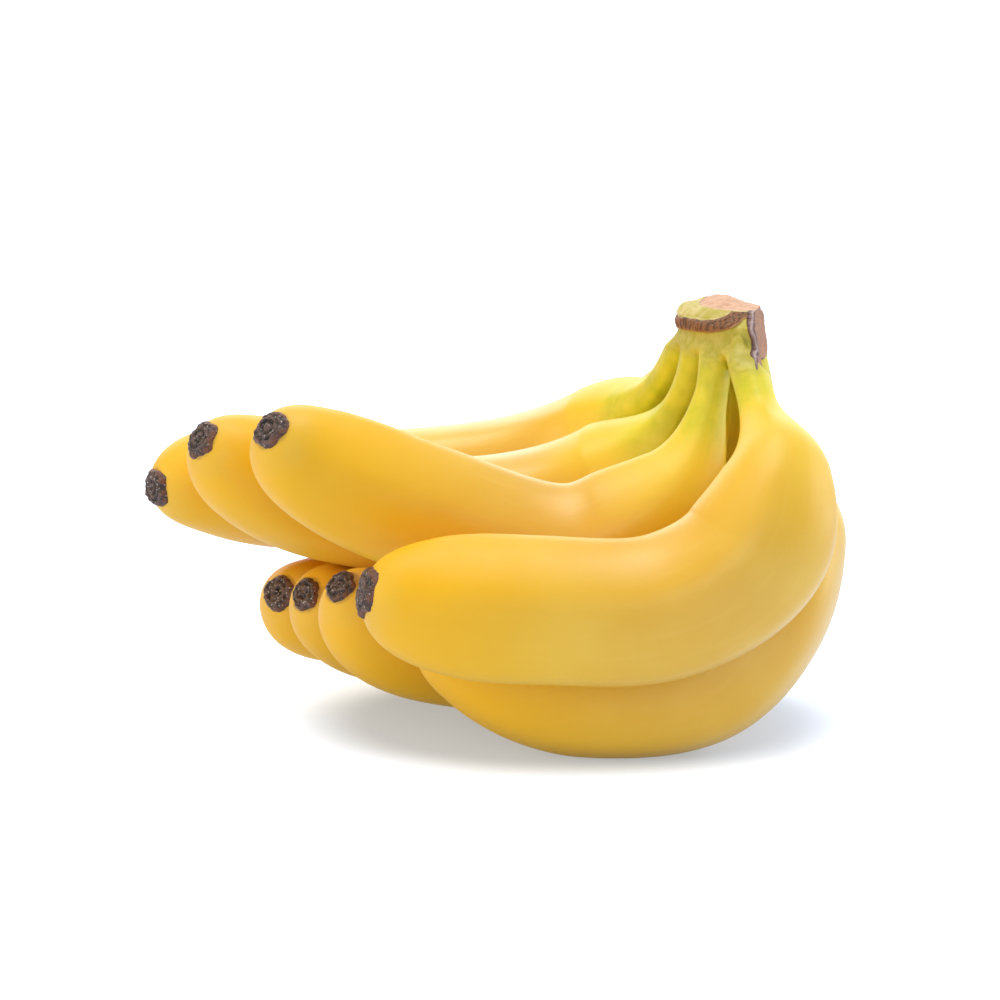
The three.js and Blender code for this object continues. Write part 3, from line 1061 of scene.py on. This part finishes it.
class Groups:
    """Node groups that several finishes share, built once each."""

    KINDS = {"value": "NodeSocketFloat", "colour": "NodeSocketColor", "vector": "NodeSocketVector"}

    @classmethod
    def start(cls, name: str, inputs: Dict[str, str],
              outputs: Dict[str, str]) -> Tuple[Graph, Sockets, Sockets]:
        """Starts a group.

        Args:
            name: its name.
            inputs: kind of each input, by name.
            outputs: kind of each output, by name.

        Returns:
            Its graph, the sockets that come in and those that go out.
        """
        tree = bpy.data.node_groups.new(name, "ShaderNodeTree")
        for way, sockets in (("INPUT", inputs), ("OUTPUT", outputs)):
            for key, kind in sockets.items():
                tree.interface.new_socket(name=key, in_out=way, socket_type=cls.KINDS[kind])
        graph = Graph(tree)
        return graph, graph.node("NodeGroupInput").outputs, graph.node("NodeGroupOutput").inputs

    @classmethod
    def specks_tree(cls) -> bpy.types.NodeTree:
        """Builds the group of small spots: middles of cells, kept where a cell's random value is low."""
        g, into, out = cls.start("Specks", {"Vector": "vector", "Scale": "value", "Size": "value",
                                            "Share": "value"}, {"Mask": "value"})
        cells = g.node("ShaderNodeTexVoronoi", {"Vector": into["Vector"], "Scale": into["Scale"]}).outputs
        ragged = g.plus(cells["Distance"], g.times(g.noise(into["Vector"], 900.0), 0.12))
        room = g.math("SUBTRACT", into["Size"], g.math("SUBTRACT", ragged, 0.06))
        near = g.math("DIVIDE", room, 0.06, clamp=True)
        pick = g.node("ShaderNodeSeparateColor", {0: cells["Color"]}).outputs[0]
        g.feed(out["Mask"], g.times(near, g.math("LESS_THAN", pick, into["Share"])))
        return g.tree

    @classmethod
    def stalk_tree(cls) -> bpy.types.NodeTree:
        """Builds the group of the stalks' colour, from green stalk through bloom to khaki flank."""
        g, into, out = cls.start("StalkColour", {"Vector": "vector"}, {"Colour": "colour", "Bloom": "value"})
        where = into["Vector"]
        height = g.node("ShaderNodeSeparateXYZ", {0: where}).outputs[2]
        broad = g.noise(where, 130.0, 3.0, 0.55)
        streak = g.drawn_out(where, (420.0, 420.0, 60.0), 3.0, 0.6)
        patch = g.noise(where, 420.0, 4.0, 0.65)
        green = g.shades(broad, 0.3, 0.75, srgb(228, 212, 54), srgb(202, 198, 36))
        green = g.over(green, g.ramp(streak, 0.45, 0.75), 0.15, srgb(240, 222, 92))
        khaki = g.shades(patch, 0.38, 0.62, srgb(168, 156, 58), srgb(190, 174, 88))
        khaki_zone = g.ramp(g.swayed(height, broad, 0.008), 0.1005, 0.1065)
        g.feed(out["Colour"], g.mix(g.times(khaki_zone, 0.8), green, khaki))
        g.feed(out["Bloom"], g.times(khaki_zone, g.ramp(patch, 0.45, 0.65)))
        return g.tree

    @classmethod
    def specks(cls, g: Graph, place: Socket, scale: float, size: float, share: float) -> Socket:
        """Puts scattered small spots into a graph.

        Args:
            g: the graph.
            place: coordinates that the spots lie on.
            scale: cells to the metre.
            size: radius of a spot as a share of its cell.
            share: share of the cells that hold a spot.

        Returns:
            1 on the spots and 0 between them.
        """
        tree = bpy.data.node_groups.get("Specks") or cls.specks_tree()
        inputs = {"Vector": place, "Scale": scale, "Size": size, "Share": share}
        return g.node("ShaderNodeGroup", inputs, node_tree=tree).outputs["Mask"]

    @classmethod
    def stalk(cls, g: Graph, place: Socket) -> Sockets:
        """Puts the stalks' colour into a graph and returns its Colour and Bloom sockets."""
        tree = bpy.data.node_groups.get("StalkColour") or cls.stalk_tree()
        return g.node("ShaderNodeGroup", {"Vector": place}, node_tree=tree).outputs


def new_material(name: str) -> Tuple[bpy.types.Material, Graph, bpy.types.Node]:
    """Starts a material.

    Args:
        name: its name.

    Returns:
        The material, its graph and its Principled node.
    """
    made = bpy.data.materials.new(name)
    made.use_nodes = True
    graph = Graph(made.node_tree)
    return made, graph, graph.found("BSDF_PRINCIPLED")


@dataclass(frozen=True)
class PeelFinish:
    """Waxy ripe peel with a green stalk, faint mottling, fine specks, a deeper end and scabs by its crust.

    Attributes:
        name: name of the material.
        green: how far the green reaches along the fruit, in millimetres.
        seed: moves the pattern so that no two fruits match.
        pale: the lighter yellow.
        deep: the deeper yellow.
        roughness: roughness of the skin, which a mottling raises and lowers a little.
        specular: strength of its shine.
        coat_roughness: roughness of the wax, which thins out towards both ends of the fruit.
    """

    name: str
    green: float
    seed: int
    pale: Colour = srgb(236, 193, 68)
    deep: Colour = srgb(231, 179, 42)
    roughness: float = 0.44
    specular: float = 0.35
    coat_roughness: float = 0.34

    def material(self) -> bpy.types.Material:
        """Builds the material."""
        made, g, shader = new_material(self.name)
        place, green, seed = g.place(), self.green, self.seed
        moved = g.scaled(place, (1, 1, 1), (0.37 * seed, 0.21 * seed, 0.13 * seed))
        unrolled = g.node("ShaderNodeUVMap", uv_map="UVMap").outputs[0]
        along, from_tip, stalk = g.attribute("along"), g.attribute("from_tip"), Groups.stalk(g, place)
        broad = g.noise(moved, 28.0)
        fine = g.noise(moved, 160.0, 4.0, 0.6)
        streak = g.drawn_out(unrolled, (46.0, 5.0, 1.0), 3.0, 0.55, (seed, 0, 0))

        colour = g.shades(broad, 0.3, 0.7, self.pale, self.deep)
        colour = g.over(colour, g.ramp(streak, 0.5, 0.8), 0.16, srgb(247, 210, 98))
        colour = g.over(colour, g.ramp(fine, 0.5, 0.8), 0.08, srgb(226, 168, 44))
        colour = g.over(colour, g.ramp(from_tip, 75.0, 20.0), 0.85, srgb(242, 184, 10))
        reach = g.swayed(g.swayed(along, broad, 9.0), streak, 9.0)
        colour = g.over(colour, g.ramp(reach, green + 42.0, green + 4.0), 0.7, srgb(244, 208, 42))
        colour = g.mix(g.ramp(reach, green + 7.0, green - 5.0), colour, stalk["Colour"])
        # Darker olive green in the flutes between the stalks: partly their own greener skin, partly painted
        # shade of the crevices.
        flute = g.times(g.attribute("flute"), g.ramp(reach, green + 16.0, green - 4.0))
        colour = g.over(colour, flute, 0.7, srgb(150, 156, 16))
        colour = g.over(colour, g.ramp(g.swayed(from_tip, fine, 5.0), 9.0, 1.0), 0.3, srgb(214, 184, 84))
        colour = g.over(colour, g.ramp(g.swayed(from_tip, fine, 1.6), 1.5, 0.7), 0.7, srgb(150, 108, 62))
        colour = g.over(colour, Groups.specks(g, moved, 95.0, 0.05, 0.02), 0.4, srgb(138, 92, 36))
        shown = g.plus(0.1, g.times(g.ramp(from_tip, 22.0, 4.0), 0.45))
        dots = g.times(Groups.specks(g, moved, 330.0, 0.10, 0.03), shown)
        colour = g.mix(dots, colour, srgb(140, 90, 40))

        rough = g.ramp(fine, 0.2, 0.8, self.roughness - 0.05, self.roughness + 0.08)
        pores = g.drawn_out(unrolled, (260.0, 120.0, 1.0), 3.0, 0.6)
        relief = g.plus(g.times(pores, 0.6), g.times(streak, 0.5))
        wax = g.times(g.ramp(from_tip, 30.0, 110.0), g.ramp(along, 45.0, 85.0, 0.2))
        g.fill(shader, {"Base Color": colour, "Normal": g.bump(relief, 0.00006),
                        "Roughness": g.plus(rough, g.times(stalk["Bloom"], 0.1)),
                        "Specular IOR Level": self.specular, "Subsurface Weight": 0.08,
                        "Subsurface Radius": (1.0, 0.5, 0.12), "Subsurface Scale": 0.003,
                        "Coat Weight": wax, "Coat Roughness": self.coat_roughness})
        return made


@dataclass(frozen=True)
class CrownFinish:
    """The crown's skins: green-khaki flanks, brown cork ridge, tan cuts and a grey-violet rim with a painted
    highlight along its crease.

    Attributes:
        name: name of the material.
    """

    name: str = "crown_cork"

    def material(self) -> bpy.types.Material:
        """Builds the material."""
        made, g, shader = new_material(self.name)
        place, ridge, rim = g.place(), g.attribute("ridge"), g.attribute("rim")
        top_cut, side_cut = g.attribute("top_cut"), g.attribute("side_cut")
        dome = g.shades(g.noise(place, 300.0, 4.0, 0.6), 0.35, 0.65, srgb(186, 172, 72), srgb(208, 190, 124))
        colour = g.mix(g.attribute("above"), Groups.stalk(g, place)["Colour"], dome)
        colour = g.over(colour, Groups.specks(g, place, 190.0, 0.08, 0.09), 0.75, srgb(84, 66, 36))

        crinkle = g.drawn_out(place, (1050.0, 1050.0, 260.0), 4.0, 0.65)
        fibre = g.drawn_out(place, (1500.0, 1500.0, 300.0), 3.0, 0.6)
        cork = g.shades(crinkle, 0.34, 0.62, srgb(70, 40, 22), srgb(146, 94, 52))
        cork = g.over(cork, g.ramp(fibre, 0.55, 0.75), 0.6, srgb(206, 160, 112))
        cork = g.over(cork, g.attribute("lip"), 0.75, srgb(196, 142, 84))
        colour = g.mix(g.ramp(ridge, 0.15, 0.5), colour, cork)

        wrinkle = g.drawn_out(place, (900.0, 900.0, 500.0), 4.0, 0.7)
        fold = g.shades(wrinkle, 0.38, 0.62, srgb(98, 70, 64), srgb(148, 118, 112))
        # Painted highlight: a pale line along the rim's crease, where light would catch the fold.
        fold = g.over(fold, g.attribute("crease"), 0.7, srgb(206, 184, 182))
        fold = g.over(fold, g.attribute("rim_edge"), 0.8, srgb(86, 54, 40))
        colour = g.mix(g.ramp(rim, 0.2, 0.6), colour, fold)

        grain = g.noise(place, 520.0, 4.0, 0.6)
        top = g.shades(grain, 0.35, 0.65, srgb(196, 146, 110), srgb(218, 174, 142))
        side = g.shades(grain, 0.35, 0.65, srgb(138, 86, 50), srgb(182, 126, 82))
        side = g.over(side, g.ramp(fibre, 0.5, 0.7), 0.5, srgb(112, 66, 42))
        colour = g.mix(top_cut, colour, top)
        colour = g.over(colour, g.attribute("top_edge"), 0.6, srgb(160, 118, 108))
        colour = g.mix(side_cut, colour, side)

        rough_grain = g.times(grain, g.plus(0.06, g.times(g.plus(top_cut, side_cut), 0.3)))
        relief = g.plus(g.plus(g.times(crinkle, ridge), rough_grain), g.times(wrinkle, rim))
        g.fill(shader, {"Base Color": colour, "Roughness": g.ramp(grain, 0.2, 0.8, 0.5, 0.75),
                        "Normal": g.bump(relief, 0.0005), "Subsurface Weight": 0.06,
                        "Subsurface Radius": (1.0, 0.5, 0.2), "Subsurface Scale": 0.002})
        return made


@dataclass(frozen=True)
class BlossomFinish:
    """Dried blossom crust: near-black brown with red-brown rims and painted grey-white glints that stand in
    for highlights.

    Attributes:
        name: name of the material.
    """

    name: str = "dried_blossom"

    def material(self) -> bpy.types.Material:
        """Builds the material."""
        made, g, shader = new_material(self.name)
        place = g.place()
        coarse, fine = g.noise(place, 520.0, 4.0, 0.65), g.noise(place, 1600.0, 3.0, 0.6)
        # Darker where the crust sinks and paler where it rises: partly its own tone, partly painted shade in
        # the hollows.
        colour = g.shades(g.attribute("relief"), 0.3, 0.85, srgb(24, 17, 17), srgb(104, 82, 76))
        colour = g.over(colour, g.ramp(coarse, 0.4, 0.62), 0.5, srgb(96, 66, 54))
        # Painted highlight: grey-white glints where the fine noise peaks.
        colour = g.mix(g.ramp(fine, 0.58, 0.72), colour, srgb(214, 208, 208))
        rim = g.times(g.attribute("rim"), g.ramp(coarse, 0.36, 0.6))
        g.fill(shader, {"Base Color": g.over(colour, rim, 0.7, srgb(126, 76, 50)),
                        "Roughness": g.ramp(fine, 0.35, 0.7, 0.28, 0.75),
                        "Normal": g.bump(g.plus(coarse, g.times(fine, 0.5)), 0.0006)})
        return made


# The hand

PLANS: Tuple[Plan, ...] = (
    Plan("banana_upper_1", 19.3, 5.0, (21, 70), 40, 6.2,
         ((66, -28, 112), (70.5, -43, 94), (74.2, -64, 79), (66, -72, 59),
          (45, -73, 47), (13, -73, 46), (-15, -72.5, 48), (-32, -76, 52)), 10.0, 27.0, 11),
    Plan("banana_upper_2", 17.6, 4.4, (14, 64), 42, 5.0,
         ((61, -22, 110), (59, -25, 92), (51, -30, 71), (24, -31, 53),
          (-16, -35, 64), (-46, -43, 79), (-57, -53, 90)), 26.0, 27.0, 12),
    Plan("banana_upper_3", 17.3, 4.4, (22, 54), 42, 5.0,
         ((57, -15, 109), (53, -10, 91), (35, 2, 65), (-3, 7, 53),
          (-41, 5, 58), (-66, -6, 70), (-78, -15, 80)), 6.0, 38.0, 13),
    Plan("banana_upper_4", 17.3, 4.6, (22, 62), 42, 5.2,
         ((54.8, -7, 108.5), (48.4, 5.5, 92.2), (34.5, 34, 70.3), (6, 45, 57.5),
          (-43, 45, 53), (-78, 29, 59), (-94, 19, 59)), 31.0, 44.0, 14),
    Plan("banana_lower_1", 18.8, 4.8, (24, 60), 40, 5.5,
         ((68, -19, 110), (73, -16, 88), (77, -33, 55), (71, -43, 37),
          (56, -43, 21), (24, -43, 18), (-5, -46, 30), (-17, -48, 38)), 35.0, 24.0, 15),
    Plan("banana_lower_2", 17.5, 4.6, (26, 64), 44, 4.4,
         ((68, -12, 107), (71, 1, 82), (72, -1, 46), (47, -6, 19),
          (22, -6, 17), (-7, -10, 21), (-29, -21, 29), (-40, -31, 43)), 30.0, 26.0, 16),
    Plan("banana_lower_3", 17.5, 4.6, (26, 68), 44, 4.4,
         ((67, -4, 106), (66, 19, 78), (61, 32, 44), (32, 30, 19),
          (-3, 27, 17), (-34, 14, 22), (-51, -3, 34)), 45.0, 32.0, 17),
    Plan("banana_lower_4", 17.2, 4.6, (26, 68), 44, 4.9,
         ((63, 3, 105), (55, 55, 73), (44, 74, 42), (12, 67, 18),
          (-26, 56, 18), (-49, 38, 20), (-60, 23, 28)), 43.0, 34.0, 18),
)


@dataclass
class Hand:
    """The whole hand: eight fruits, their blossom ends and the crown.

    Attributes:
        plans: sizes of the fruits.
    """

    plans: Tuple[Plan, ...] = PLANS

    def place(self, skin: Skin, material: bpy.types.Material, slot: Slot) -> bpy.types.Object:
        """Builds a piece, dresses it and ties it to the frame.

        Args:
            skin: the worked-out surface.
            material: its finish.
            slot: the record's slot; not used.

        Returns:
            The piece.
        """
        node, piece = skin.name, skin.build()
        piece.data.materials.append(material)
        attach(piece, "root")
        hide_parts(node)
        low, high = skin.points.reshape(-1, 3).min(0), skin.points.reshape(-1, 3).max(0)
        log.info("%s: %d faces, from %s to %s mm", piece.name, len(piece.data.polygons), low.round(1),
                 high.round(1))
        return piece

    def build(self) -> List[bpy.types.Object]:
        """Builds and dresses all the pieces.

        Returns:
            The pieces.
        """
        lines = [CentreLine(plan) for plan in self.plans]
        stalks, cut = Stalks(lines), SideCut()
        blossom = BlossomFinish().material()
        pieces = [self.place(Crown().skin(stalks, cut), CrownFinish().material(), Slot.CORK)]
        for index, (plan, line) in enumerate(zip(self.plans, lines)):
            skin = Banana(plan, line, index).skin(lines, stalks, cut)
            peel = PeelFinish("peel_" + plan.name.split("_", 1)[1], plan.green, plan.seed).material()
            pieces.append(self.place(skin, peel, Slot.PEEL))
            pieces.append(self.place(BlossomEnd(plan, line).skin(), blossom, Slot.BLOSSOM))
        return pieces


# The studio


@dataclass(frozen=True)
class Lamp:
    """A soft box.

    Attributes:
        name: its name.
        place: where it hangs, in metres.
        aim: the point it faces.
        size: width and height, in metres.
        power: strength in watts.
        tint: its colour.
    """

    name: str
    place: Triple
    aim: Triple
    size: Tuple[float, float]
    power: float
    tint: Colour = (1.0, 1.0, 1.0)

    def build(self) -> None:
        """Hangs the lamp."""
        data = bpy.data.lights.new(self.name, "AREA")
        data.shape = "RECTANGLE"
        data.size, data.size_y = self.size
        data.energy = self.power
        data.color = self.tint
        lamp = linked(self.name, data)
        lamp.location = self.place
        facing = unit(np.array(self.place) - np.array(self.aim))
        across = unit(np.cross((0.0, 1.0, 0.01), facing))
        turned = np.stack([across, np.cross(facing, across), facing], 1)
        lamp.rotation_euler = Matrix(turned.tolist()).to_euler()


@dataclass
class Studio:
    """White floor, soft light and the camera at the photograph's angle.

    Attributes:
        elevation: how far the camera looks down, in degrees.
        distance: how far it stands from its target, in metres.
        target: the point it looks at.
        lens: its focal length in millimetres.
        grey: colour of the floor where it does not glow.
        shade_scale: what the floor's coordinates are scaled by, so that the shade's oval has radius 1.
        shade_move: moves the oval under the hand.
        lamps: the soft boxes.
    """

    elevation: float = 12.0
    distance: float = 1.0
    target: Triple = (0.0037, -0.01735, 0.0635)
    lens: float = 133.2
    grey: Colour = (0.36, 0.45, 0.65)
    shade_scale: Triple = (13.7, 19.2, 1.0)
    shade_move: Triple = (-0.34, 0.19, 0.0)
    lamps: Tuple[Lamp, ...] = (
        Lamp("soft_top", (-0.05, 0.12, 1.2), (0.0, 0.0, 0.05), (1.0, 0.8), 8.5),
        Lamp("soft_back", (0.1, 1.5, 0.6), (0.0, 0.0, 0.05), (2.6, 0.9), 12.0),
        Lamp("soft_left", (-1.0, -0.2, 0.32), (0.0, 0.0, 0.06), (0.5, 0.6), 4.0, (1.0, 0.80, 0.40)),
        Lamp("soft_right", (1.1, 0.25, 0.35), (0.05, 0.0, 0.05), (0.8, 0.7), 4.4),
        Lamp("soft_front", (-0.3, -1.5, 0.6), (0.0, 0.0, 0.05), (1.2, 0.8), 3.5),
    )

    def floor(self) -> None:
        """Lays a floor that glows white and fades, in a soft oval under the hand, for its shadow."""
        far = 6.0
        mesh = bpy.data.meshes.new("floor")
        mesh.from_pydata([(-far, -far, 0), (far, -far, 0), (far, far, 0), (-far, far, 0)], [], [(0, 1, 2, 3)])
        floor = linked("floor", mesh)
        made, g, shader = new_material("studio_white")
        oval = g.scaled(g.place(), self.shade_scale, self.shade_move)
        away = g.node("ShaderNodeVectorMath", {0: oval}, operation="LENGTH").outputs["Value"]
        glow = g.times(g.ramp(away, 0.78, 1.26, 0.36), g.plus(0.45, g.times(g.seen(), 0.55)))
        g.fill(shader, {"Base Color": self.grey, "Emission Color": (1.0, 1.0, 1.0),
                        "Emission Strength": glow, "Roughness": 0.9, "Specular IOR Level": 0.1})
        mesh.materials.append(made)

    def world(self) -> None:
        """Sets a white surround that lights more strongly from the right and looks white everywhere."""
        world = bpy.data.worlds.new("studio")
        world.use_nodes = True
        g = Graph(world.node_tree)
        towards = g.node("ShaderNodeTexCoord").outputs["Generated"]
        rightwards = g.node("ShaderNodeSeparateXYZ", {0: towards}).outputs[0]
        strength = g.math("MAXIMUM", g.ramp(rightwards, -1.0, 0.4, 0.36, 0.60), g.times(g.seen(), 1.1))
        g.fill(g.found("BACKGROUND"), {"Color": (1.0, 1.0, 1.0), "Strength": strength})
        bpy.context.scene.world = world

    def camera(self) -> None:
        """Sets the camera: level turn 0, looking down by the elevation at the target."""
        data = bpy.data.cameras.new("camera")
        data.lens, data.sensor_width = self.lens, 36.0
        data.clip_end = 20.0
        camera = linked("camera", data)
        tilt = math.radians(self.elevation)
        x, y, z = self.target
        camera.location = (x, y - self.distance * math.cos(tilt), z + self.distance * math.sin(tilt))
        camera.rotation_euler = (math.pi / 2 - tilt, 0, 0)
        bpy.context.scene.camera = camera

    def build(self) -> None:
        """Builds the studio."""
        self.camera()
        self.floor()
        self.world()
        for lamp in self.lamps:
            lamp.build()
        bpy.context.scene.view_settings.view_transform = "Standard"


def corners(box: Sequence[Sequence[float]]) -> List[List[float]]:
    """A box as plain lists of numbers."""
    return [[float(value) for value in corner] for corner in box]


def main() -> None:
    """Builds the studio and the hand."""
    logging.basicConfig(level=logging.INFO, format="%(message)s")
    Studio().build()
    pieces = Hand().build()
    log.info("%d pieces", len(pieces))


if __name__ == "__main__":
    main()
